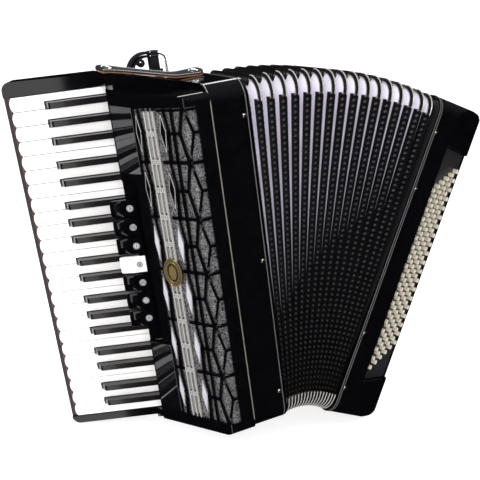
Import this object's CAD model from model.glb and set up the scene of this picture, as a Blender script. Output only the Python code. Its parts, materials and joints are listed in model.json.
"""Piano accordion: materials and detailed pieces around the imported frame.

Lengths are millimetres in one of three local frames, turned into metres by Section.at():
treble (x = 0 at the bellows face, z = 0 at the case bottom), bass (the same, x grows outwards)
and keys (u out along the keys, y up from the key surface, z along the keyboard).
"""
import json
import math

import bpy
import numpy as np
from mathutils import Matrix, Vector


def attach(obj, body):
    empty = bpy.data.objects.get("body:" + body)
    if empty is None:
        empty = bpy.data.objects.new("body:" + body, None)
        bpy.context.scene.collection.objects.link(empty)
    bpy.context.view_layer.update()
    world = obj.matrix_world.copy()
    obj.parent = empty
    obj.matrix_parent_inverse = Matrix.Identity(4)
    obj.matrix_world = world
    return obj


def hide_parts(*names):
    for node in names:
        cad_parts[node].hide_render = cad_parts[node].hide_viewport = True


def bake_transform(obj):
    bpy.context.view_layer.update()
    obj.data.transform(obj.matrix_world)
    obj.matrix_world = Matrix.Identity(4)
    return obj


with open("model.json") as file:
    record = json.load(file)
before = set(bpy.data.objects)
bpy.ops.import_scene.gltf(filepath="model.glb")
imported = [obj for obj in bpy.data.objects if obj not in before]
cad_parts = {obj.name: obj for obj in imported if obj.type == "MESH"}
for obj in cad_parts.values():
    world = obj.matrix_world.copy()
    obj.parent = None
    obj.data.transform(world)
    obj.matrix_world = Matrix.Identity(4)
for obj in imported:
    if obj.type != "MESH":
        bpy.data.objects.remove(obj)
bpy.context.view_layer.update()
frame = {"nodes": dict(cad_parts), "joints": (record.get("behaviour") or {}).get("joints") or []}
NODES = frame["nodes"]
JOINTS = {j["name"]: j for j in frame["joints"]}
MM = 0.001


# ---- local frames ----
class Section:
    """A local frame: the columns of axes are its x, y and z, and origin is in metres."""

    def __init__(self, axes, origin):
        self.axes = np.array(axes, float)
        self.origin = np.array(origin, float)

    def at(self, points):
        """World points in metres for local points in millimetres."""
        return self.origin + np.asarray(points, float) * MM @ self.axes.T

    def local(self, points):
        return (np.asarray(points, float) - self.origin) @ self.axes / MM


def section_of(node, up, face):
    """The frame of a case: up is its z, and face picks the side of it that the bellows meet."""
    z = np.array(up) / np.linalg.norm(up)
    y = np.array([0.0, 1.0, 0.0])
    axes = np.column_stack([np.cross(y, z), y, z])
    local = np.array([v.co for v in NODES[node].data.vertices]) @ axes
    lo, hi = local.min(0), local.max(0)
    corner = [hi[0] if face > 0 else lo[0], (lo[1] + hi[1]) / 2, lo[2]]
    return Section(axes, axes @ corner), (hi - lo) / MM


treble, case_size = section_of("treble_case", -np.array(JOINTS["keys_f_press"]["axis"]), 1)
bass = section_of("bass_case", JOINTS["strap_wheel_turn"]["axis"], -1)[0]
CASE_W, DEPTH, HEIGHT = case_size
HALF = DEPTH / 2
EDGE_R = 26.0

KEY_TURN = math.radians(23)
KEY_ROOT = (-148.0, 26.0)
KEY_Z0 = 18.0
KEY_SPAN = 480.0
KEY_LEN = 132.0
key_u = np.array([-math.cos(KEY_TURN), math.sin(KEY_TURN), 0])
key_y = np.array([-math.sin(KEY_TURN), -math.cos(KEY_TURN), 0])
keys = Section(treble.axes @ np.column_stack([key_u, key_y, [0, 0, 1]]),
               treble.at([*KEY_ROOT, 0]))

GRILLE_CORNER = np.array([-84.0, -HALF])
CHEEK_RISE = 12.5
cheek = np.array([KEY_ROOT[0] - CHEEK_RISE * math.sin(KEY_TURN),
                  KEY_ROOT[1] - CHEEK_RISE * math.cos(KEY_TURN)])
facet_dir = (cheek - GRILLE_CORNER) / np.linalg.norm(cheek - GRILLE_CORNER)

BOARD_SLANT = math.radians(30)
BASS_FRONT_W = 34.0
BASS_W = 116.0
board = Section(bass.axes @ np.column_stack(
    [[math.cos(BOARD_SLANT), math.sin(BOARD_SLANT), 0],
     [math.sin(BOARD_SLANT), -math.cos(BOARD_SLANT), 0], [0, 0, 1]]),
    bass.at([BASS_FRONT_W, -HALF, 0]))


# ---- camera and studio ----
EYE = np.array([-0.4778, -1.0472, 0.5763])
SENSOR = 36
LENS_IN_WIDTHS = 806.7 / 480


def make_camera():
    """The viewing place: azimuth and elevation of the line of sight, its roll, and the lens."""
    azimuth, elevation, roll = (math.radians(a) for a in (23.309, 14.397, 0.977))
    look = Vector((math.sin(azimuth) * math.cos(elevation),
                   math.cos(azimuth) * math.cos(elevation), -math.sin(elevation)))
    side = Vector((math.cos(azimuth), -math.sin(azimuth), 0))
    up = side.cross(look)
    right = side * math.cos(roll) + up * math.sin(roll)
    top = up * math.cos(roll) - side * math.sin(roll)
    data = bpy.data.cameras.new("camera")
    data.sensor_width = SENSOR
    data.lens = SENSOR * LENS_IN_WIDTHS
    data.clip_start, data.clip_end = 0.05, 400
    cam = bpy.data.objects.new("camera", data)
    cam.matrix_world = Matrix((right, top, -look)).transposed().to_4x4()
    cam.location = EYE
    bpy.context.scene.collection.objects.link(cam)
    bpy.context.scene.camera = cam


def area_light(name, place, target, size, power, glossy=True, colour=(1, 1, 1)):
    data = bpy.data.lights.new(name, "AREA")
    data.shape = "RECTANGLE"
    data.size, data.size_y = size
    data.energy = power
    data.color = colour
    light = bpy.data.objects.new(name, data)
    light.location = place
    aim = Vector(target) - Vector(place)
    light.rotation_euler = aim.to_track_quat("-Z", "Y").to_euler()
    light.visible_glossy = glossy
    bpy.context.scene.collection.objects.link(light)
    return light


def make_world():
    """White all round for plain light; gloss reflects darkness with a bright field overhead."""
    world = bpy.data.worlds.new("studio")
    bpy.context.scene.world = world
    world.use_nodes = True
    tree = world.node_tree
    tree.nodes.clear()
    out = tree.nodes.new("ShaderNodeOutputWorld")
    mix = tree.nodes.new("ShaderNodeMixShader")
    plain = tree.nodes.new("ShaderNodeBackground")
    plain.inputs["Color"].default_value = (1.0, 1.0, 1.0, 1)
    plain.inputs["Strength"].default_value = 1.05
    seen = tree.nodes.new("ShaderNodeBackground")
    seen.inputs["Strength"].default_value = 1.0
    place = tree.nodes.new("ShaderNodeTexCoord")
    split = tree.nodes.new("ShaderNodeSeparateXYZ")
    ramp = tree.nodes.new("ShaderNodeValToRGB")
    ramp.color_ramp.elements[0].position = 0.6
    ramp.color_ramp.elements[0].color = (0.002, 0.002, 0.0025, 1)
    ramp.color_ramp.elements[1].position = 0.98
    ramp.color_ramp.elements[1].color = (0.16, 0.16, 0.17, 1)
    half = tree.nodes.new("ShaderNodeMapRange")
    half.inputs["From Min"].default_value = -1
    light_path = tree.nodes.new("ShaderNodeLightPath")
    tree.links.new(place.outputs["Generated"], split.inputs[0])
    tree.links.new(split.outputs["Z"], half.inputs["Value"])
    tree.links.new(half.outputs[0], ramp.inputs[0])
    tree.links.new(ramp.outputs[0], seen.inputs["Color"])
    tree.links.new(light_path.outputs["Is Glossy Ray"], mix.inputs[0])
    tree.links.new(plain.outputs[0], mix.inputs[1])
    tree.links.new(seen.outputs[0], mix.inputs[2])
    tree.links.new(mix.outputs[0], out.inputs[0])


def card(name, corners, strength, colour=(1, 1, 1)):
    """A glowing sheet that only reflections show; corners in metres."""
    mesh = bpy.data.meshes.new(name)
    mesh.from_pydata([tuple(c) for c in corners], [], [tuple(range(len(corners)))])
    mat = bpy.data.materials.new(name)
    mat.use_nodes = True
    shader = mat.node_tree.nodes["Principled BSDF"]
    shader.inputs["Base Color"].default_value = (0, 0, 0, 1)
    shader.inputs["Emission Color"].default_value = (*colour, 1)
    shader.inputs["Emission Strength"].default_value = strength
    mesh.materials.append(mat)
    sheet = bpy.data.objects.new(name, mesh)
    bpy.context.scene.collection.objects.link(sheet)
    sheet.visible_camera = False
    sheet.visible_diffuse = False
    sheet.visible_shadow = False
    sheet.visible_transmission = False


def key_tip_card():
    """A soft sheet low in front, mirrored by the tips of the black keys."""
    normal = keys.axes[:, 1]
    image = EYE - 2 * ((EYE - keys.at([0, 10, 0])) @ normal) * normal
    edge = [keys.at([u, 10, z]) for u, z in ((57, -160), (57, 640), (150, 640), (150, -160))]
    card("tip_card", [image + (e - image) * 1.62 for e in edge], 1.5)


def make_studio():
    make_world()
    floor_size = 120
    bpy.ops.mesh.primitive_grid_add(x_subdivisions=8, y_subdivisions=8, size=floor_size)
    floor = bpy.context.object
    floor.name = "floor"
    paper = material("floor_paper", (0.55, 0.55, 0.55), 0.9, specular=0.0)
    paper.node_tree.nodes["Principled BSDF"].inputs["Emission Color"].default_value = (1, 1, 1, 1)
    paper.node_tree.nodes["Principled BSDF"].inputs["Emission Strength"].default_value = 0.8
    floor.data.materials.append(paper)
    floor.visible_glossy = False
    area_light("key_light", (-0.9, -0.9, 2.0), (0, 0, 0.25), (1.3, 0.8), 14)
    area_light("back_light", (0.9, 1.4, 1.7), (0, 0, 0.25), (1.6, 0.6), 14)
    area_light("front_fill", (-1.5, -2.3, 0.8), (-0.1, 0, 0.25), (1.6, 1.6), 26, False)
    area_light("side_light", (-2.1, 0.35, 0.75), (-0.1, 0, 0.25), (0.5, 1.2), 6, False)
    key_tip_card()
    scene = bpy.context.scene
    scene.view_settings.view_transform = "Standard"
    scene.view_settings.look = "None"


# ---- materials ----
def material(name, colour, rough, metal=0.0, coat=0.0, specular=0.5, sheen=0.0,
             spots=0.0, spot_scale=60.0, bump=0.0, bump_scale=900.0, rough_var=0.06,
             voronoi=False, stretch=(1, 1, 1)):
    """A principled material whose colour and roughness vary with noise, with a fine bump."""
    mat = bpy.data.materials.new(name)
    mat.use_nodes = True
    tree = mat.node_tree
    shader = tree.nodes["Principled BSDF"]
    shader.inputs["Metallic"].default_value = metal
    shader.inputs["Coat Weight"].default_value = coat
    shader.inputs["Coat Roughness"].default_value = 0.04
    shader.inputs["Specular IOR Level"].default_value = specular
    shader.inputs["Sheen Weight"].default_value = sheen
    place = tree.nodes.new("ShaderNodeTexCoord")
    scaled = tree.nodes.new("ShaderNodeMapping")
    scaled.inputs["Scale"].default_value = stretch
    tree.links.new(place.outputs["Object"], scaled.inputs[0])
    noise = tree.nodes.new("ShaderNodeTexNoise")
    noise.inputs["Scale"].default_value = spot_scale
    noise.inputs["Detail"].default_value = 4
    tree.links.new(scaled.outputs[0], noise.inputs["Vector"])
    ramp = tree.nodes.new("ShaderNodeValToRGB")
    low = [c * (1 - spots) for c in colour]
    high = [min(1, c * (1 + spots)) for c in colour]
    ramp.color_ramp.elements[0].position = 0.3
    ramp.color_ramp.elements[0].color = (*low, 1)
    ramp.color_ramp.elements[1].position = 0.7
    ramp.color_ramp.elements[1].color = (*high, 1)
    tree.links.new(noise.outputs["Fac"], ramp.inputs[0])
    tree.links.new(ramp.outputs[0], shader.inputs["Base Color"])
    spread = tree.nodes.new("ShaderNodeMapRange")
    spread.inputs["To Min"].default_value = max(0.02, rough - rough_var / 2)
    spread.inputs["To Max"].default_value = min(1, rough + rough_var / 2)
    tree.links.new(noise.outputs["Fac"], spread.inputs["Value"])
    tree.links.new(spread.outputs[0], shader.inputs["Roughness"])
    if bump:
        if voronoi:
            grain = tree.nodes.new("ShaderNodeTexVoronoi")
            grain.feature = "DISTANCE_TO_EDGE"
            result = grain.outputs["Distance"]
        else:
            grain = tree.nodes.new("ShaderNodeTexNoise")
            grain.inputs["Detail"].default_value = 3
            result = grain.outputs["Fac"]
        grain.inputs["Scale"].default_value = bump_scale
        tree.links.new(scaled.outputs[0], grain.inputs["Vector"])
        relief = tree.nodes.new("ShaderNodeBump")
        relief.inputs["Strength"].default_value = bump
        relief.inputs["Distance"].default_value = 0.0004
        tree.links.new(result, relief.inputs["Height"])
        tree.links.new(relief.outputs[0], shader.inputs["Normal"])
    return mat


def glitter_material():
    """Silver glitter cloth: tiny flakes, each with its own grey and tilt."""
    mat = material("glitter", (0.4, 0.4, 0.42), 0.42, metal=0.55)
    tree = mat.node_tree
    shader = tree.nodes["Principled BSDF"]
    place = tree.nodes.new("ShaderNodeTexCoord")
    cells = tree.nodes.new("ShaderNodeTexVoronoi")
    cells.inputs["Scale"].default_value = 900
    tree.links.new(place.outputs["Object"], cells.inputs["Vector"])
    ramp = tree.nodes.new("ShaderNodeValToRGB")
    ramp.color_ramp.elements[0].position = 0.3
    ramp.color_ramp.elements[0].color = (0.012, 0.011, 0.013, 1)
    ramp.color_ramp.elements[1].position = 0.72
    ramp.color_ramp.elements[1].color = (0.40, 0.385, 0.395, 1)
    tree.links.new(cells.outputs["Color"], ramp.inputs[0])
    tree.links.new(ramp.outputs[0], shader.inputs["Base Color"])
    relief = tree.nodes.new("ShaderNodeBump")
    relief.inputs["Strength"].default_value = 0.5
    relief.inputs["Distance"].default_value = 0.0004
    tree.links.new(cells.outputs["Color"], relief.inputs["Height"])
    tree.links.new(relief.outputs[0], shader.inputs["Normal"])
    return mat


def weave_material(name, colour, scale, sheen=0.3):
    """Woven bellows cloth: crossed threads in the colour and in the bump."""
    mat = material(name, colour, 0.75, sheen=sheen, spots=0.12, spot_scale=25)
    tree = mat.node_tree
    shader = tree.nodes["Principled BSDF"]
    place = tree.nodes.new("ShaderNodeTexCoord")
    total = tree.nodes.new("ShaderNodeMath")
    total.operation = "ADD"
    for i, axis in enumerate(("X", "Z")):
        wave = tree.nodes.new("ShaderNodeTexWave")
        wave.bands_direction = axis
        wave.inputs["Scale"].default_value = scale
        wave.inputs["Distortion"].default_value = 0.6
        tree.links.new(place.outputs["Object"], wave.inputs["Vector"])
        tree.links.new(wave.outputs["Fac"], total.inputs[i])
    relief = tree.nodes.new("ShaderNodeBump")
    relief.inputs["Strength"].default_value = 0.25
    relief.inputs["Distance"].default_value = 0.0003
    tree.links.new(total.outputs[0], relief.inputs["Height"])
    tree.links.new(relief.outputs[0], shader.inputs["Normal"])
    return mat


def make_materials():
    return {
        "gloss": material("black_celluloid", (0.0015, 0.0015, 0.002), 0.09, coat=0.1,
                          spots=0.25, bump=0.012, bump_scale=260, rough_var=0.04),
        "lacquer": material("black_lacquer", (0.0015, 0.0015, 0.002), 0.12, coat=0.1,
                            spots=0.25, bump=0.012, bump_scale=300, rough_var=0.05),
        "ivory": material("key_ivory", (0.86, 0.845, 0.835), 0.16, coat=0.25, spots=0.012,
                          spot_scale=18, bump=0.01, bump_scale=400),
        "ebony": material("key_ebony", (0.004, 0.004, 0.005), 0.16, coat=0.3, spots=0.3,
                          bump=0.015, bump_scale=500),
        "white": material("switch_white", (0.83, 0.84, 0.87), 0.2, coat=0.3, spots=0.01),
        "disc": material("disc_white", (0.40, 0.40, 0.41), 0.3, spots=0.05),
        "cream": material("button_cream", (0.60, 0.55, 0.45), 0.28, coat=0.2, spots=0.05,
                          spot_scale=240),
        "nickel": material("nickel", (0.72, 0.70, 0.67), 0.17, metal=1.0, spots=0.06,
                           spot_scale=150, bump=0.03, bump_scale=1600),
        "corner": material("corner_nickel", (0.62, 0.60, 0.57), 0.26, metal=0.45, spots=0.1,
                           spot_scale=120, bump=0.04, bump_scale=1500, rough_var=0.1),
        "corner_dark": material("corner_flank", (0.012, 0.011, 0.011), 0.24, metal=0.3,
                                spots=0.2, spot_scale=200, rough_var=0.1),
        "chrome": material("chrome", (0.86, 0.86, 0.87), 0.08, metal=1.0, spots=0.03),
        "bar": material("silver_bar", (0.50, 0.49, 0.47), 0.24, metal=0.3, spots=0.06,
                        spot_scale=300, bump=0.05, bump_scale=1800),
        "kite": material("kite_plate", (0.42, 0.41, 0.46), 0.3, metal=0.0, spots=0.04,
                         spot_scale=90, bump=0.02),
        "gold": material("medal_gold", (0.52, 0.38, 0.15), 0.3, metal=0.8, spots=0.15,
                         spot_scale=500, bump=0.12, bump_scale=1500),
        "dark_gold": material("medal_dark", (0.06, 0.05, 0.045), 0.3, metal=0.6, spots=0.2),
        "leather": material("black_leather", (0.014, 0.014, 0.018), 0.5, spots=0.25,
                            spot_scale=90, bump=0.25, bump_scale=700, voronoi=True,
                            rough_var=0.12, specular=0.03),
        "tan": material("tan_leather", (0.33, 0.16, 0.075), 0.6, spots=0.22, spot_scale=130,
                        bump=0.3, bump_scale=900),
        "thread": material("thread", (0.62, 0.62, 0.62), 0.7, spots=0.1, spot_scale=900,
                           bump=0.4, bump_scale=3000),
        "felt": material("red_felt", (0.16, 0.012, 0.016), 0.95, spots=0.3, spot_scale=700,
                         bump=0.6, bump_scale=2500, sheen=0.5),
        "tape": material("bellows_tape", (0.0025, 0.0025, 0.003), 0.42, spots=0.3,
                         spot_scale=160, bump=0.3, bump_scale=1500, voronoi=True,
                         rough_var=0.12, specular=0.22),
        "relief": material("tape_relief", (0.075, 0.075, 0.08), 0.34, spots=0.25,
                           spot_scale=160, bump=0.25, bump_scale=1500),
        "cloth": weave_material("lilac_cloth", (0.76, 0.72, 0.82), 320),
        "glitter": glitter_material(),
        "board": material("board_grey", (0.018, 0.018, 0.02), 0.45, spots=0.2,
                          spot_scale=200, bump=0.15, bump_scale=1200),
        "wood": material("reed_wood", (0.48, 0.29, 0.14), 0.55, spots=0.3, spot_scale=35,
                         bump=0.2, bump_scale=400, stretch=(1, 1, 0.12)),
        "trim": material("grey_trim", (0.16, 0.155, 0.15), 0.3, spots=0.1, metal=0.4),
        "seam": material("seam_bead", (0.30, 0.28, 0.25), 0.3, spots=0.15, metal=0.5,
                         spot_scale=30),
    }


# ---- mesh helpers ----
def new_piece(name, verts, faces, mats, body=None, sharp=35, face_mats=None):
    mesh = bpy.data.meshes.new(name)
    mesh.from_pydata([tuple(v) for v in np.asarray(verts, float)], [],
                     [tuple(int(i) for i in f) for f in faces])
    for mat in mats if isinstance(mats, (list, tuple)) else [mats]:
        mesh.materials.append(mat)
    if face_mats is not None:
        mesh.polygons.foreach_set("material_index", np.asarray(face_mats, np.int32))
    mesh.polygons.foreach_set("use_smooth", [True] * len(mesh.polygons))
    mesh.update()
    mesh.set_sharp_from_angle(angle=math.radians(sharp))
    obj = bpy.data.objects.new(name, mesh)
    bpy.context.scene.collection.objects.link(obj)
    if body:
        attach(obj, body)
    return obj


class Build:
    """Gathers grids and caps of points into the vertices and faces of one piece."""

    def __init__(self):
        self.verts = []
        self.faces = []
        self.mats = []
        self.extra = []

    def grid(self, points, close_rows=False, close_cols=False, cap=False, mat=0, extra=None):
        """points[i][j]: joins row i to row i+1; cap fills the first and last row."""
        p = np.asarray(points, float)
        rows, cols = p.shape[:2]
        start = len(self.verts)
        self.verts.extend(p.reshape(-1, 3))
        if extra is not None:
            self.extra.extend(np.asarray(extra, float).reshape(-1))
        for i in range(rows if close_rows else rows - 1):
            a = start + i * cols
            b = start + ((i + 1) % rows) * cols
            for j in range(cols if close_cols else cols - 1):
                k = (j + 1) % cols
                self.faces.append((a + j, a + k, b + k, b + j))
                self.mats.append(mat if np.isscalar(mat) else int(mat[i][j]))
        if cap:
            self.faces.append(tuple(range(start + cols - 1, start - 1, -1)))
            last = start + (rows - 1) * cols
            self.faces.append(tuple(range(last, last + cols)))
            self.mats.extend([mat if np.isscalar(mat) else 0] * 2)

    def piece(self, name, mats, body=None, sharp=35):
        return new_piece(name, self.verts, self.faces, mats, body, sharp, self.mats)


def section_loop(half_w, half_h, r, steps=3):
    """Points round a rounded rectangle, anticlockwise."""
    pts = []
    for cx, cy, a0 in ((half_w - r, half_h - r, 0), (r - half_w, half_h - r, 90),
                       (r - half_w, r - half_h, 180), (half_w - r, r - half_h, 270)):
        for i in range(steps + 1):
            a = math.radians(a0 + 90 * i / steps)
            pts.append((cx + r * math.cos(a), cy + r * math.sin(a)))
    return np.array(pts)


def swept(path, sides, ups, loop):
    """Rows of a loop carried along a path: loop x goes along sides, loop y along ups."""
    path, sides, ups = (np.asarray(a, float) for a in (path, sides, ups))
    return (path[:, None] + sides[:, None] * loop[None, :, :1] + ups[:, None] * loop[None, :, 1:])


def tube(build, path, r, steps=8, closed=False, mat=0):
    """A round tube along points in millimetres."""
    path = np.asarray(path, float)
    ahead = np.roll(path, -1, 0) if closed else np.vstack([path[1:], path[-1:]])
    behind = np.roll(path, 1, 0) if closed else np.vstack([path[:1], path[:-1]])
    t = ahead - behind
    t /= np.linalg.norm(t, axis=1)[:, None]
    ref = np.eye(3)[np.abs(t).max(0).argmin()]      # the axis that no stretch runs along
    side = np.cross(t, ref)
    side /= np.linalg.norm(side, axis=1)[:, None]
    up = np.cross(side, t)
    angles = np.linspace(0, 2 * math.pi, steps, endpoint=False)
    loop = np.column_stack([np.cos(angles), np.sin(angles)]) * r
    build.grid(swept(path, side, up, loop), close_rows=closed, close_cols=True, cap=not closed,
               mat=mat)


def in_frame(build, section):
    build.verts = [tuple(v) for v in section.at(np.array(build.verts))]
    return build


# ---- CAD nodes that stay: their materials and softened edges ----
def paint(names, mat, bevel=0.0):
    for name in names:
        obj = NODES[name]
        obj.data.materials.clear()
        obj.data.materials.append(mat)
        if bevel:
            soft = obj.modifiers.new("soft_edges", "BEVEL")
            soft.width = bevel * MM
            soft.segments = 2
            soft.limit_method = "ANGLE"
            soft.angle_limit = math.radians(40)
            soft.use_clamp_overlap = True


def named(*starts):
    return [n for n in NODES if n.startswith(starts)]


def paint_nodes():
    paint(["treble_case", "bass_case", "bass_cover", "keyboard_bed", "register_housing"],
          M["gloss"])
    paint(["treble_grille"], M["lacquer"])
    paint(["grille_cloth"], M["glitter"])
    paint(["grille_lattice"], M["lacquer"])
    sharps = [n for n in named("keys_") if n.endswith("_sharp")]
    paint([n for n in named("keys_") if n not in sharps], M["ivory"], 0.45)
    paint(sharps, M["ebony"], 0.7)
    paint(named("buttons_"), M["cream"], 0.8)
    paint(["air_button"], M["cream"], 0.6)
    paint(["key_axle", "strap_brackets", "treble_bellows_pins", "bass_bellows_pins",
           "strap_wheel"], M["nickel"])
    paint(["treble_reed_blocks", "bass_reed_blocks"], M["wood"])
    paint(["bass_button_board"], M["board"])
    paint(["treble_straps", "bass_hand_strap"], M["leather"])
    paint(named("bellows_fold"), M["tape"])
    paint(named("register_switch"), M["gloss"])


# ---- bellows ----
FOLDS = 16
PITCH = 4.2            # closed pitch of the folds
FIRST = 3.5            # room for the end frame beside the treble case
FOLD_DEPTH = 22.0
RIDGE_INSET = 1.4      # ridges lie this far inside the outline of the cases
RIDGE_R = 28.0
TAPE_REACH = 12.5      # how far the tape runs down each side of a ridge
FAN = math.acos(np.clip(treble.axes[:, 2] @ bass.axes[:, 2], -1, 1))
hinge = treble.local(JOINTS["bellows_fan"]["pos_m"])
# share of the fan's angle, in folds, at some places in the stack; the ends crowd a little
SHARE_AT = ((-1 / 3, 0), (0, 0.1), (1, 1.08), (15, 15.5), (16, 16.3), (16.81, 17))


def share(c):
    at, value = np.array(SHARE_AT).T
    return np.interp(c, at, value / (FOLDS + 1))


def bellows_at(c, y, z, out=0.0):
    """Treble-frame point of fold place c (ridges at whole numbers), moved out along the stack."""
    c, y, z, out = np.broadcast_arrays(*(np.asarray(a, float) for a in (c, y, z, out)))
    angle = share(c) * FAN
    x = FIRST + (c - 0.5) * PITCH - hinge[0] + out
    up = z - hinge[2]
    return np.stack([hinge[0] + x * np.cos(angle) + up * np.sin(angle), y,
                     hinge[2] - x * np.sin(angle) + up * np.cos(angle)], -1)


def ring_corner(which, d, a):
    """y and z on a corner of the ring at depth d; a runs 0 to 1 round the corner."""
    r = np.maximum(RIDGE_R - d, 1.5)
    cy = HALF - RIDGE_INSET - d - r
    low = RIDGE_INSET + d + r
    high = HEIGHT - RIDGE_INSET - d - r
    angle = np.radians(90 * (which + a))
    y = np.where(which in (0, 3), cy, -cy) + r * np.cos(angle)
    z = np.where(which in (0, 1), high, low) + r * np.sin(angle)
    return y, z


def ring(d, steps=8, along=5):
    """y and z round the whole ring at depth d."""
    ys, zs = [], []
    for which in range(4):
        y, z = ring_corner(which, d, np.linspace(0, 1, steps + 1))
        ys.extend(y)
        zs.extend(z)
        y2, z2 = ring_corner((which + 1) % 4, d, np.array([0.0]))
        for k in range(1, along):
            t = k / along
            ys.append(y[-1] + (y2[0] - y[-1]) * t)
            zs.append(z[-1] + (z2[0] - z[-1]) * t)
    return np.array(ys), np.array(zs)


def blend_bellows(build, name, mats, sharp=35):
    """A piece whose points turn with the fan by their own share of it."""
    in_frame(build, treble)
    piece = build.piece(name, mats, sharp=sharp)
    top = treble.at([0, 0, HEIGHT])
    tuple(bass.at([0, 0, HEIGHT]))
    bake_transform(piece)
    weights = np.array(build.extra, np.float32)
    return piece


def bellows_cloth():
    outer = [(-1 / 3, 9.0)]
    for n in range(FOLDS + 1):
        outer.append((n, 0.0))
        outer.append((n + 0.08, 3.4))
        if n < FOLDS:
            outer += [(n + 0.42, 19.5), (n + 0.5, FOLD_DEPTH), (n + 0.58, 19.5), (n + 0.92, 3.4)]
    outer.append((16.81, 16.0))
    rows = outer + [(c, d + 1.2) for c, d in reversed(outer)]
    build = Build()
    grid, extra = [], []
    for c, d in rows:
        y, z = ring(d)
        grid.append(bellows_at(c, y, z))
        extra.append(np.full(len(y), share(c)))
    build.grid(grid, close_rows=True, close_cols=True, extra=extra)
    cloth = blend_bellows(build, "bellows_cloth", M["cloth"], sharp=60)
    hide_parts(*named("bellows_fold"))
    return cloth


VINE_PERIOD = 7.8


def vine(s, q):
    """Embossed height, 0 to 1, at s mm along a tape and share q of the way from its ridge."""
    fade = np.clip(1 - ((q - 0.45) / 0.36) ** 2, 0, 1)
    leaf = np.cos(2 * math.pi * (s / VINE_PERIOD + 0.42 * q)) * fade
    stem = 0.5 * np.exp(-((q - 0.47 - 0.12 * np.sin(2 * math.pi * s / VINE_PERIOD)) / 0.1) ** 2)
    return np.clip(leaf, 0, 1) + stem


def tape_grid(build, n, y_at, z_at, s):
    """One ridge's tape along a straight side: y_at(d), z_at(d) give the side at depth d."""
    q = np.array([1, 0.92, 0.82, 0.7, 0.58, 0.46, 0.34, 0.22, 0.1])
    rows, extra, raised = [], [], []

    def row(depth, side, lift, height=0.0):
        c = n + side * 0.5 * depth / FOLD_DEPTH
        rows.append(bellows_at(c, y_at(depth), z_at(depth), side * lift))
        extra.append(np.broadcast_to(share(c), s.shape))
        raised.append(np.broadcast_to(height, s.shape))

    for share_q in q:
        row(TAPE_REACH * share_q, -1, 0.55 + 0.5 * vine(s, share_q), vine(s, share_q))
    row(-0.45, 0, 0)
    for share_q in q[::-1]:
        row(TAPE_REACH * share_q, 1, 0.55 + 0.5 * vine(s, share_q), vine(s, share_q))
    for depth in (TAPE_REACH, 0.9):
        row(depth, 1, 0.12)
    for depth in (0.9, TAPE_REACH):
        row(depth, -1, 0.12)
    points = np.array(rows).transpose(1, 0, 2)
    height = np.array(raised).T
    mean = (height[:-1] + height[1:]) / 2
    mean = (mean + np.roll(mean, -1, 1)) / 2
    build.grid(points, close_cols=True, cap=True, mat=(mean > 0.57).astype(int),
               extra=np.array(extra).T)


def bellows_tapes():
    """Front, back, top and bottom tapes on every ridge, square at their ends."""
    step = 1.3
    span_z = np.arange(RIDGE_INSET + RIDGE_R, HEIGHT - RIDGE_INSET - RIDGE_R + 0.1, step)
    reach = HALF - RIDGE_INSET - RIDGE_R
    span_y = np.arange(-reach, reach + 0.1, step)
    for name, side in (("front", -1), ("back", 1)):
        build = Build()
        for n in range(FOLDS + 1):
            tape_grid(build, n, lambda d: np.full(span_z.shape, side * (HALF - RIDGE_INSET - d)),
                      lambda d: span_z, span_z)
        blend_bellows(build, "bellows_tape_" + name, [M["tape"], M["relief"]])
    for name in ("top", "bottom"):
        build = Build()
        for n in range(FOLDS + 1):
            level = {"top": lambda d: np.full(span_y.shape, HEIGHT - RIDGE_INSET - d),
                     "bottom": lambda d: np.full(span_y.shape, RIDGE_INSET + d)}[name]
            tape_grid(build, n, lambda d: span_y, level, span_y)
        blend_bellows(build, "bellows_tape_" + name, [M["tape"], M["relief"]])


def bellows_corners():
    """Nickel corner channels on every ridge, with a beaded inner edge."""
    build = Build()
    steps = 12
    along = np.linspace(-0.07, 1.07, steps + 1)
    profile = [(5.6, 0.7), (5.8, 1.1), (5.3, 1.3), (4.8, 1.0), (3.4, 0.85), (1.6, 0.8),
               (0.5, 0.75)]
    bright = [0, 0, 0, 1, 1, 1, 0]
    for n in range(FOLDS + 1):
        for which in range(4):
            rows, extra = [], []

            def row(depth, side, lift):
                c = n + side * 0.5 * depth / FOLD_DEPTH
                y, z = ring_corner(which, depth, along)
                rows.append(bellows_at(c, y, z, side * lift))
                extra.append(np.full(len(along), float(share(c))))

            for depth, lift in profile:
                row(depth, -1, lift)
            row(-0.75, 0, 0)
            for depth, lift in reversed(profile):
                row(depth, 1, lift)
            for depth in (5.4, 1.0):
                row(depth, 1, 0.3)
            for depth in (1.0, 5.4):
                row(depth, -1, 0.3)
            points = np.array(rows).transpose(1, 0, 2)
            flank = bright + [0] + bright[-2::-1] + [0, 0, 0, 0, 0]
            dark = np.tile(flank[:points.shape[1]], (len(along), 1))
            build.grid(points, close_cols=True, cap=True, mat=dark, extra=np.array(extra).T)
    blend_bellows(build, "bellows_corners", [M["corner"], M["corner_dark"]], sharp=50)


def end_frames():
    """Black frames that close the bellows against the two cases."""
    for name, section, x0, x1, body in (("treble_frame", treble, 0.1, 2.3, "treble"),
                                        ("bass_frame", bass, -1.25, -0.1, "bass")):
        build = Build()
        loops = []
        for x, inset in ((x0, 20), (x0, 0.8), (x1, 0.8), (x1, 20)):
            loops.append([(x, y, z) for y, z in case_contour(inset)])
        build.grid(np.array(loops), close_rows=True, close_cols=True)
        in_frame(build, section).piece("bellows_" + name, M["gloss"], body)


# ---- grille ----
GRILLE_R = 12.0
LATTICE_Z = (22.0, 473.0)
HEADER_Z = 467.5
PERIODS = 6
PERIOD = (LATTICE_Z[1] - LATTICE_Z[0]) / PERIODS


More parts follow.
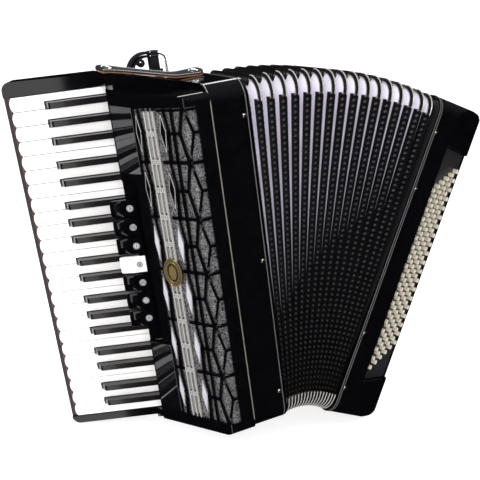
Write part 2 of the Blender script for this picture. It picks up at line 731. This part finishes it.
def grille_at(u, z, h=0.0):
    """Treble-frame point on the grille: u along the slanted side from its front corner, negative
    round on the front; h outwards from the surface."""
    u, z, h = np.broadcast_arrays(*(np.asarray(a, float) for a in (u, z, h)))
    turn = math.acos(np.clip(facet_dir @ np.array([-1.0, 0.0]), -1, 1))
    tangent = GRILLE_R * math.tan(turn / 2)
    centre = GRILLE_CORNER + tangent * np.array([1.0, 0.0]) + GRILLE_R * np.array([0.0, 1.0])
    front = np.array([0.0, -1.0])
    t = np.clip((u + tangent) / (2 * tangent), 0, 1)
    angle = t * turn
    start = math.atan2(front[1], front[0])
    normal = np.stack([np.cos(start - angle), np.sin(start - angle)], -1)
    flat = np.where((u > tangent)[..., None], facet_dir * (u - tangent)[..., None],
                    np.where((u < -tangent)[..., None],
                             np.array([1.0, 0.0]) * (-u - tangent)[..., None], 0.0))
    xy = centre + normal * (GRILLE_R + h)[..., None] + flat
    return np.concatenate([xy, z[..., None]], -1)


def rib(build, a, b, width, low=-2.4, high=0.35, mat=0):
    """A bar on the grille from a to b, each (u, z), of some width, following the curve."""
    a, b = np.array(a, float), np.array(b, float)
    steps = max(2, int(np.linalg.norm(b - a) / 3.5))
    t = np.linspace(0, 1, steps + 1)[:, None]
    line = a + (b - a) * t
    side = np.array([-(b - a)[1], (b - a)[0]]) / np.linalg.norm(b - a)
    half = width / 2
    loop = [(-half, low), (half, low), (half, high - 0.5), (half - 0.5, high),
            (0.5 - half, high), (-half, high - 0.5)]
    rows = [[grille_at(*(p + side * x), h) for x, h in loop] for p in line]
    build.grid(np.array(rows), close_cols=True, cap=True, mat=mat)


def plate(build, outline, high, thick, mat=0, rim=0.6):
    """A flat plate on the grille with a chamfered rim; outline is a list of (u, z)."""
    outline = np.array(outline, float)
    centre = outline.mean(0)
    inner = centre + (outline - centre) * (1 - rim / 8)
    rows = [[grille_at(u, z, high - thick) for u, z in outline],
            [grille_at(u, z, high - 0.3) for u, z in outline],
            [grille_at(u, z, high) for u, z in inner]]
    build.grid(np.array(rows), close_cols=True, cap=True, mat=mat)


def grille_lattice():
    """Black ribs: nodes on each period line and spread ribs halfway, around diamond openings."""
    build = Build()
    for k in range(PERIODS):
        top = LATTICE_Z[1] - PERIOD * k
        mid = top - PERIOD / 2
        low = top - PERIOD
        for edge in (min(top, HEADER_Z), low):
            rib(build, (4.3, edge), (-6.5, mid), 4.0)
            rib(build, (6.7, edge), (15.6, mid), 4.0)
            rib(build, (38.5, edge), (32.6, mid), 3.2)
            rib(build, (80.5, edge), (75.8, mid), 3.0)
        rib(build, (25.2, min(top, HEADER_Z)), (25.2, low), 4.4)
        rib(build, (35.0, mid + 3), (35.5, low), 3.6)
        rib(build, (76.0, mid + 3), (77.0, low), 3.2)
        rib(build, (14.5, mid), (33.5, mid), 4.2)
        rib(build, (-6.0, mid), (-13.9, mid), 4.2)
        rib(build, (74.5, mid), (79.0, mid), 4.0)
        if k:
            rib(build, (-13.9, top), (49.0, top), 4.6)
            rib(build, (72.0, top), (88.0, top), 4.0)
            rib(build, (3.0, top - 7), (3.0, top + 7), 5.0)
    rib(build, (-13.9, 464.9), (48.5, 464.9), 3.4)
    rib(build, (50, 466.2), (74, 466.2), 2.0)
    piece = in_frame(build, treble).piece("lattice_ribs", M["lacquer"], "treble")
    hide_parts("grille_lattice")


def grille_kites():
    build = Build()
    for k in range(PERIODS):
        mid = LATTICE_Z[1] - PERIOD * (k + 0.5)
        for centre, half in ((41.8, 4.6), (83.2, 3.8)):
            outline = np.array([(centre - half, mid + 2), (centre - 0.5, mid - 25),
                                (centre + half, mid + 1), (centre + 0.6, mid + 25)])
            plate(build, outline, 0.1, 2.0, mat=2 if k < 2 else 0)
            middle = outline.mean(0)
            for a, b in zip(outline, np.roll(outline, -1, 0)):
                a, b = (middle + (c - middle) * 0.97 for c in (a, b))
                rib(build, a, b, 0.9, -0.6, 0.5, 1)
    piece = in_frame(build, treble).piece("grille_kites", [M["kite"], M["bar"], M["gloss"]],
                                          "treble", sharp=20)


def grille_bars():
    """Three long silver bars with cross links and screws at each half period."""
    build = Build()
    z0, z1 = LATTICE_Z
    for u in (54.5, 61.5, 68.5):
        rib(build, (u, z0 + 5), (u, z1 - 9), 1.9, -1.5, 1.5)
        rib(build, (u, z0 + 6), (u, z0 + 1), 1.2, -1.5, 1.2)
    for k in range(1, 2 * PERIODS):
        z = z1 - PERIOD / 2 * k
        for u in (58, 65):
            rib(build, (u - 3.4, z + 2.6), (u + 3.4, z + 2.6), 1.5, -1.5, 1.3)
            rib(build, (u - 3.4, z - 2.6), (u + 3.4, z - 2.6), 1.5, -1.5, 1.3)
            disc(build, lambda x, y, h: grille_at(u + x, z + y, h), 1.5, -1.0, 1.1)
    for u in (58, 65):
        rib(build, (u, z0 + 2), (u, z0 + 262), 4.6, -2.3, -1.2, 1)
    piece = in_frame(build, treble).piece("grille_bars", [M["bar"], M["gloss"]], "treble")
    edge = Build()
    for k in range(0, 12):
        z = z1 - 18 - PERIOD / 2 * k
        for u in (57.8, 65.2):
            rib(edge, (u, z + 13), (u, z - 13), 0.9, -2.2, 0.4)
    piece = in_frame(edge, treble).piece("grille_fine_bars", M["bar"], "treble")


def disc(build, place, r, low, high, dome=0.0, steps=20, mat=0, ry=None):
    """A round or oval disc on a surface given by place(x, y, h)."""
    ry = ry or r
    angles = np.linspace(0, 2 * math.pi, steps, endpoint=False)
    rows = []
    for scale, h in ((1, low), (1, high - 0.25), (0.96, high), (0.6, high + dome * 0.65),
                     (0.25, high + dome)):
        rows.append([place(scale * r * math.cos(a), scale * ry * math.sin(a), h) for a in angles])
    build.grid(np.array(rows), close_cols=True, cap=True, mat=mat)


def ring_bead(build, place, rx, ry, bead, height, steps=48, mat=0):
    """An oval ring of round section on a surface."""
    path = [place(rx * math.cos(a), ry * math.sin(a), height)
            for a in np.linspace(0, 2 * math.pi, steps, endpoint=False)]
    tube(build, path, bead, 8, closed=True, mat=mat)


def medallion():
    """Oval badge without lettering: beaded gold rim, dark ring and a cut gem shape."""
    centre_z = LATTICE_Z[1] - PERIOD * 3 - 2.5

    def place(x, y, h):
        return grille_at(62.0 + x, centre_z + y, h)

    build = Build()
    disc(build, place, 15.2, -1.5, 2.0, steps=48, mat=1, ry=20.0)
    ring_bead(build, place, 14.8, 19.6, 0.8, 2.1)
    ring_bead(build, place, 10.6, 14.6, 0.9, 2.2)
    disc(build, place, 10.2, 1.5, 2.25, steps=40, mat=1, ry=14.2)
    for i in range(40):
        a = 2 * math.pi * i / 40
        x, y = 12.7 * math.cos(a), 17.1 * math.sin(a)
        disc(build, lambda p, q, h: place(x + p, y + q, h), 0.85, 1.8, 2.5, 0.3, 8)
    gem = [(0, 11), (5.2, 6.5), (6.2, -2), (3.2, -10), (-3.2, -10), (-6.2, -2), (-5.2, 6.5)]
    rows = [[place(x, y, 2.0) for x, y in gem], [place(x, y, 2.7) for x, y in gem],
            [place(x * 0.55, y * 0.55, 3.6) for x, y in gem]]
    build.grid(np.array(rows), close_cols=True, cap=True)
    piece = in_frame(build, treble).piece("grille_medallion", [M["gold"], M["dark_gold"]],
                                          "treble", sharp=25)


def cheek_material():
    """Polished black whose mirror is tipped towards the keys, as on a hollowed cheek."""
    mat = material("cheek_gloss", (0.003, 0.003, 0.004), 0.05, specular=0.9, coat=0.0,
                   rough_var=0.02)
    tree = mat.node_tree
    lean = (treble.axes @ np.array([*facet_dir, 0])) * math.tan(math.radians(17))
    surface = tree.nodes.new("ShaderNodeNewGeometry")
    add = tree.nodes.new("ShaderNodeVectorMath")
    add.operation = "ADD"
    add.inputs[1].default_value = tuple(lean)
    unit = tree.nodes.new("ShaderNodeVectorMath")
    unit.operation = "NORMALIZE"
    tree.links.new(surface.outputs["Normal"], add.inputs[0])
    tree.links.new(add.outputs[0], unit.inputs[0])
    tree.links.new(unit.outputs[0], tree.nodes["Principled BSDF"].inputs["Normal"])
    return mat


def cheek_panels():
    """Polished panels between the keys and the grille's window, above and below the switches."""
    mat = cheek_material()
    for name, outline in (("upper", [(127, 474), (127, 381), (91, 381), (90.5, 470)]),
                          ("lower", [(127, 131), (127, 24), (90.5, 24), (90.5, 131)])):
        build = Build()
        plate(build, outline, 0.45, 0.9, rim=0.15)
        in_frame(build, treble).piece("cheek_panel_" + name, mat, "treble", sharp=20)


# ---- keyboard ----
def key_felt():
    build = Build()
    loop = section_loop(0.3, 3.6, 0.25)
    z = np.linspace(KEY_Z0 - 0.4, KEY_Z0 + KEY_SPAN + 0.4, 60)
    path = np.column_stack([np.full(60, KEY_LEN + 0.75), -4.9 + 0.12 * np.sin(z * 0.9), z])
    build.grid(swept(path, np.tile([1.0, 0, 0], (60, 1)), np.tile([0, 1.0, 0], (60, 1)), loop),
               close_cols=True, cap=True)
    in_frame(build, keys).piece("key_felt", M["felt"], "treble")


# ---- register switches ----
SWITCH_Z = 252.0
SWITCH_PITCH = 27.1
SWITCH_HALF = 12.0


def register_switches():
    """Tabs with a round nose, a roof-like ridge and a flat inner part that carries a disc."""
    for i in range(1, 8):
        z0 = SWITCH_Z + SWITCH_PITCH * (4 - i)
        build = Build()
        us = np.array([-15, -14.4, -10, -4, 0, 3, 6, 10, 14, 17, 19, 20.3, 21])
        ws = np.array([-1, -0.985, -0.93, -0.8, -0.55, -0.25, 0.05, 0.35, 0.65, 0.85, 0.95, 1])
        rows = []
        for u in us:
            nose = math.sqrt(max(0, 1 - max(0, (u - 13) / 8.2) ** 2))
            half = SWITCH_HALF * (0.86 + 0.14 * nose) if u > 13 else SWITCH_HALF
            row = []
            for w in ws:
                ridge = 3.4 - 4.6 * abs(w - 0.05)
                start = 2.0 + 5.0 * abs(w)
                roof = np.clip((u - start) / 3.0, 0, 1)
                flat = 0.9 - 0.6 * abs(w) ** 4
                top = 20.6 + (1 - roof) * flat + roof * max(ridge, -0.8 - 0.7 * abs(w))
                edge = math.sqrt(max(0, 1 - ((abs(w) - 0.9) / 0.1) ** 2)) if abs(w) > 0.9 else 1
                top = 15.7 + (top - 15.7) * (0.72 + 0.28 * edge) * (0.35 + 0.65 * nose)
                row.append((u, top, z0 + w * half))
            row += [(u, 15.6, z0 + half), (u, 15.6, z0 - half)]
            rows.append(row)
        build.grid(np.array(rows), close_cols=True, cap=True)
        colour = M["white"] if i == 4 else M["gloss"]
        name = "register_switch_%d" % i
        tab = in_frame(build, keys).piece("switch_tab_%d" % i, colour, name, sharp=28)
        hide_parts(name)
        marks = Build()

        def place(x, y, h):
            return np.array([-6.2 + x, 21.3 + h, z0 + y])

        disc(marks, place, 4.7, -0.6, 0.55, 0.12, 28, 0)
        ring_bead(marks, place, 3.7, 3.7, 0.34, 0.6, 28, 1)
        for k in range(1 + i % 3):
            x = 1.7 * (k - (i % 3) / 2)
            slab = section_loop(0.45, 2.0, 0.4)
            rows = [[place(x + p, q, h) for p, q in slab] for h in (0.3, 0.82)]
            marks.grid(np.array(rows), close_cols=True, cap=True, mat=1)
        in_frame(marks, keys).piece("switch_disc_%d" % i, [M["disc"], M["ebony"]], name)


# ---- straps ----
STRAP_Y = 35.0
STRAP_MID = -82.0
STRAP_HALF = 74.0
STRAP_TIP = math.radians(17)


def closing_strap(name, sign, levels):
    """A leather strap from the keyboard's end block to the case: waisted, stitched, with snaps.
    levels are the places (x, z) that it lies on, from the keyboard to the bellows."""
    at_x, at_z = np.array(levels, float).T

    def centre(x):
        around = np.interp(x + np.linspace(-9, 9, 7), at_x, at_z)
        return around.mean() + 0.5 * sign

    def half_width(x):
        e = abs(x - STRAP_MID) / STRAP_HALF
        tip = math.sqrt(max(0, 1 - max(0, (e - 0.84) / 0.16) ** 2))
        return (8.2 + 5.0 * min(1, e * 1.1) ** 2.5) * max(tip, 0.03)

    def at(x, w, h):
        y = w * math.cos(STRAP_TIP) - h * math.sin(STRAP_TIP)
        rise = w * math.sin(STRAP_TIP) + h * math.cos(STRAP_TIP)
        return np.array([x, STRAP_Y + y, centre(x) + sign * (3.6 + rise)])

    x_values = STRAP_MID + STRAP_HALF * np.concatenate(
        [-np.cos(np.linspace(0, 0.6, 9)), np.linspace(-0.8, 0.8, 44),
         np.cos(np.linspace(0.6, 0, 9))])
    build = Build()
    for low, high, mat, grow in ((0.0, 1.5, 1, 0.3), (1.5, 3.1, 0, 0.0)):
        loop = [(-1, low), (1, low), (1.0, high - 0.5), (0.94, high), (0.4, high + 0.25),
                (-0.4, high + 0.25), (-0.94, high), (-1.0, high - 0.5)]
        rows = [[at(x, w * (half_width(x) + grow), h) for w, h in loop] for x in x_values]
        build.grid(np.array(rows), close_cols=True, cap=True, mat=mat)
    for x0 in np.arange(STRAP_MID - STRAP_HALF + 7, STRAP_MID + STRAP_HALF - 8, 3.4):
        for side in (-1, 1):
            path = [at(x0 + t, side * (half_width(x0 + t) - 2.0),
                       3.15 + 0.35 * math.sin(math.pi * t / 2.2))
                    for t in (0, 0.55, 1.1, 1.65, 2.2)]
            tube(build, path, 0.42, 6, mat=2)
    for x0 in (STRAP_MID - STRAP_HALF + 14, STRAP_MID + STRAP_HALF - 14):
        disc(build, lambda x, y, h: at(x0 + x, y, h), 5.9, 2.8, 4.2, 1.2, 28, 3)
        ring_bead(build, lambda x, y, h: at(x0 + x, y, h), 6.3, 6.3, 0.7, 3.5, 28, 3)
    return in_frame(build, treble).piece(
        name, [M["leather"], M["tan"], M["thread"], M["chrome"]], "treble", sharp=30)


def shoulder_loop():
    """The folded end of a shoulder strap behind the case, with its keeper, hook and chain."""
    centre = np.array([-68.0, HALF + 9, HEIGHT + 9])
    build = Build()

    def at(x, y, z):
        return centre + np.array([x, y, z])

    def band(path, half_w, half_t, mat=0):
        path = np.array(path)
        t = np.gradient(path, axis=0)
        t /= np.linalg.norm(t, axis=1)[:, None]
        side = np.tile([0, 1.0, 0], (len(path), 1))
        loop = section_loop(half_w, half_t, half_t * 0.6)
        build.grid(swept(path, side, np.cross(side, t), loop), close_cols=True, cap=True, mat=mat)

    turn = np.radians(np.linspace(200, 72, 26))
    band([at(27 * math.cos(a), 0, 27 * math.sin(a)) for a in turn], 7.0, 1.9)
    turn = np.radians(np.linspace(195, 80, 22))
    band([at(22 * math.cos(a) + 1, 0, 22 * math.sin(a)) for a in turn], 6.2, 1.6)
    box = section_loop(6.3, 8.6, 1.2)
    rows = [[at(12.8 + q * f, p * f, h) for q, p in box]
            for h, f in ((1, 0.94), (2, 1), (14, 1), (20.8, 1), (21, 1.06), (23, 1.06), (23.2, 1),
                         (26.5, 1), (26.7, 1.06), (28.4, 1.06), (28.8, 0.95))]
    build.grid(np.array(rows), close_cols=True, cap=True)
    for h in (22.0, 27.6):
        loop = [at(12.8 + q, p, h) for q, p in section_loop(6.8, 9.1, 1.2, 4)]
        tube(build, loop, 0.6, 6, closed=True, mat=1)
    tab = [at(17, -5, h) for h in np.linspace(2, -35, 12)]
    band(tab, 3.2, 6.6)
    place = (lambda x, y, h: at(-8.5 + x, -7.2 - h, 14 + y))
    disc(build, place, 5.0, -8, 1.2, 0.6, 24, 0)
    disc(build, place, 2.6, 0.8, 2.2, 1.0, 20, 1)
    ring_bead(build, place, 5.2, 5.2, 0.7, 1.2, 24, 1)
    hook = [(19, 23), (22, 23.4), (26, 21.5), (29.5, 18.5), (30.6, 14)]
    tube(build, [at(x, -2, z) for x, z in hook], 1.2, 8, mat=2)
    for k in range(6):
        a = 0 if k % 2 else math.pi / 2
        link = [at(30.6 + 1.6 * math.cos(b) * math.cos(a), -2 + 1.6 * math.cos(b) * math.sin(a),
                   11.8 - 3.1 * k + 2.3 * math.sin(b))
                for b in np.linspace(0, 2 * math.pi, 12, endpoint=False)]
        tube(build, link, 0.6, 6, closed=True, mat=1)
    return in_frame(build, treble).piece(
        "shoulder_strap_end", [M["leather"], M["chrome"], M["gloss"]], "treble", sharp=30)


def hand_strap():
    """Padded leather strap over the bass cover, stitched along both edges, with end plates."""
    bow_r = 557.5
    middle = np.array([BASS_W + 34 - 560, HEIGHT / 2])
    reach = math.asin(192 / bow_r)
    angles = np.linspace(-reach, reach, 60)

    def at(a, w, h):
        r = bow_r + h
        return np.array([middle[0] + r * math.cos(a), 38 + w, middle[1] + r * math.sin(a)])

    build = Build()
    loop = [(-31, -1.6), (-30, -2.3), (30, -2.3), (31, -1.6), (31, 1.2), (30, 1.9), (26, 1.7),
            (23, 2.4), (-23, 2.4), (-26, 1.7), (-30, 1.9), (-31, 1.2)]
    rows = [[at(a, w, h) for w, h in loop] for a in angles]
    build.grid(np.array(rows), close_cols=True, cap=True)
    for a0 in np.arange(-reach + 0.02, reach - 0.02, 0.0082):
        for w in (-27.8, 27.8):
            path = [at(a0 + t, w, 1.85 + 0.35 * math.sin(math.pi * t / 0.0052))
                    for t in (0, 0.0013, 0.0026, 0.0039, 0.0052)]
            tube(build, path, 0.4, 6, mat=1)
    for a0 in (-reach + 0.03, reach - 0.03):
        for w in (-18, 0, 18):
            disc(build, lambda x, y, h: at(a0 + y / bow_r, w + x, h), 3.4, 1.5, 3.0, 0.9, 20, 2)
    strap = in_frame(build, bass).piece("hand_strap", [M["leather"], M["thread"], M["nickel"]],
                                        "bass", sharp=30)
    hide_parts("bass_hand_strap")


def straps():
    top = closing_strap("closing_strap_top", 1, ((-170, 515.5), (-148, 515), (-50, HEIGHT),
                                                 (0, HEIGHT)))
    closing_strap("closing_strap_bottom", -1, ((-170, 6), (-60, 6), (-46, 0), (0, 0)))
    shoulder_loop()
    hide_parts("treble_straps")
    hand_strap()


# ---- seams and trims ----
def case_contour(inset, steps=10, half=HALF, height=HEIGHT, r=EDGE_R):
    pts = []
    for which, (sy, sz) in enumerate(((1, 1), (-1, 1), (-1, -1), (1, -1))):
        for i in range(steps + 1):
            a = math.radians(90 * (which + i / steps))
            pts.append((sy * (half - r) + (r - inset) * math.cos(a),
                        (height - r if sz > 0 else r) + (r - inset) * math.sin(a)))
    return np.array(pts)


def edge_beads():
    """Fine rounded beads where the bellows frames meet the cases."""
    for name, section, places, body in (("treble_edge_bead", treble, ((-2.6, 0.75),), "treble"),
                                        ("bass_edge_bead", bass, ((1.2, 0.8), (5.0 - 0.6, 0.7)),
                                         "bass")):
        build = Build()
        for x, r in places:
            path = [(x, y, z) for y, z in case_contour(0.25)]
            tube(build, path, r, 8, closed=True)
        in_frame(build, section).piece(name, M["trim"], body)
    build = Build()
    path = [(-CASE_W - 0.2, y, z) for y, z in case_contour(0.1, 14) if y < -30 and z > 12]
    tube(build, path, 0.85, 8)
    in_frame(build, treble).piece("grille_seam_bead", M["seam"], "treble")


# ---- everything ----
M = make_materials()
make_camera()
make_studio()
paint_nodes()
bellows_cloth()
bellows_tapes()
bellows_corners()
end_frames()
grille_lattice()
grille_kites()
grille_bars()
medallion()
cheek_panels()
key_felt()
register_switches()
straps()
edge_beads()
